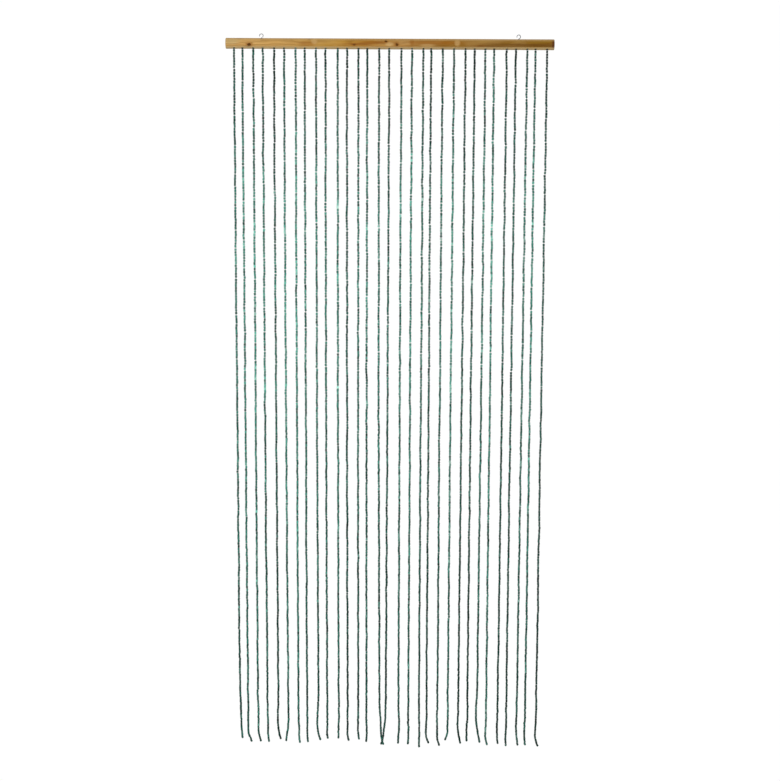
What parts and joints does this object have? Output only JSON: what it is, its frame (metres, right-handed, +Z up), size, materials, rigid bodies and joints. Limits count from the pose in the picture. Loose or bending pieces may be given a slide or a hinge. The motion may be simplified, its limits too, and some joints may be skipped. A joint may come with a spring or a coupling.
{
  "type": "bamboo bead door curtain with wooden hanging bar",
  "caption": "Door curtain of small green-stained bamboo beads strung close on stiff line, thirty-one strands hanging from a half-round pine bar with open screw hooks in its top.",
  "frame": {"origin": "middle of the flat back face of the hanging bar", "axes": "+Z up, along the hanging strands; +Y out of the bar's back, towards the wall or lintel; +X along the bar, to the right as seen from the room"},
  "size_m": [0.9, 0.016, 2.0269],
  "materials": {
    "pine": "clear varnished knotty pine, satin",
    "bamboo": "sage green stained bamboo, satin lacquer, uneven from bead to bead",
    "zinc": "bright zinc plated steel wire",
    "line": "stiff milky nylon line, smooth"
  },
  "bodies": {
    "root": {"bar": "pine", "hook_left": "zinc", "hook_right": "zinc", "strand_01": "bamboo", "strand_02": "bamboo", "strand_03": "bamboo", "strand_04": "bamboo", "strand_05": "bamboo", "strand_06": "bamboo", "strand_07": "bamboo", "strand_08": "bamboo", "strand_09": "bamboo", "strand_10": "bamboo", "strand_11": "bamboo", "strand_12": "bamboo", "strand_13": "bamboo", "strand_14": "bamboo", "strand_15": "bamboo", "strand_16": "bamboo", "strand_17": "bamboo", "strand_18": "bamboo", "strand_19": "bamboo", "strand_20": "bamboo", "strand_21": "bamboo", "strand_22": "bamboo", "strand_23": "bamboo", "strand_24": "bamboo", "strand_25": "bamboo", "strand_26": "bamboo", "strand_27": "bamboo", "strand_28": "bamboo", "strand_29": "bamboo", "strand_30": "bamboo", "strand_31": "bamboo"}
  },
  "joints": []
}
